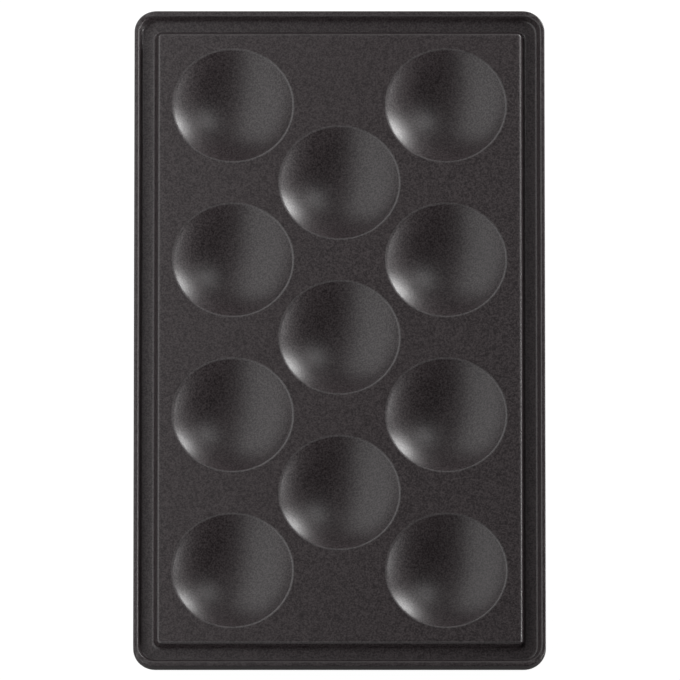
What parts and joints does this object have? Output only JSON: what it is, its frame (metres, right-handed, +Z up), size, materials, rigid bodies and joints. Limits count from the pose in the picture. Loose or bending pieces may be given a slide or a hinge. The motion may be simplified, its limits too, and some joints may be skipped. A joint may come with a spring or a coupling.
{
  "type": "sandwich maker cooking plate",
  "caption": "Rectangular non-stick cooking plate of a hinged sandwich and waffle maker, with round bowl wells, an overflow moat and a raised rim.",
  "frame": {"origin": "on the surface that the plate stands on with the lower edge of its skirt, under the middle of the plate", "axes": "+X runs across the plate from the hinge side to the latch side, +Y along its length, +Z up out of the cooking face"},
  "size_m": [0.1466, 0.2496, 0.012],
  "materials": {
    "coated_casting": "die-cast aluminium under a semi-matt, finely speckled dark non-stick coating"
  },
  "bodies": {
    "root": {"cooking_plate": "coated_casting"}
  },
  "joints": []
}
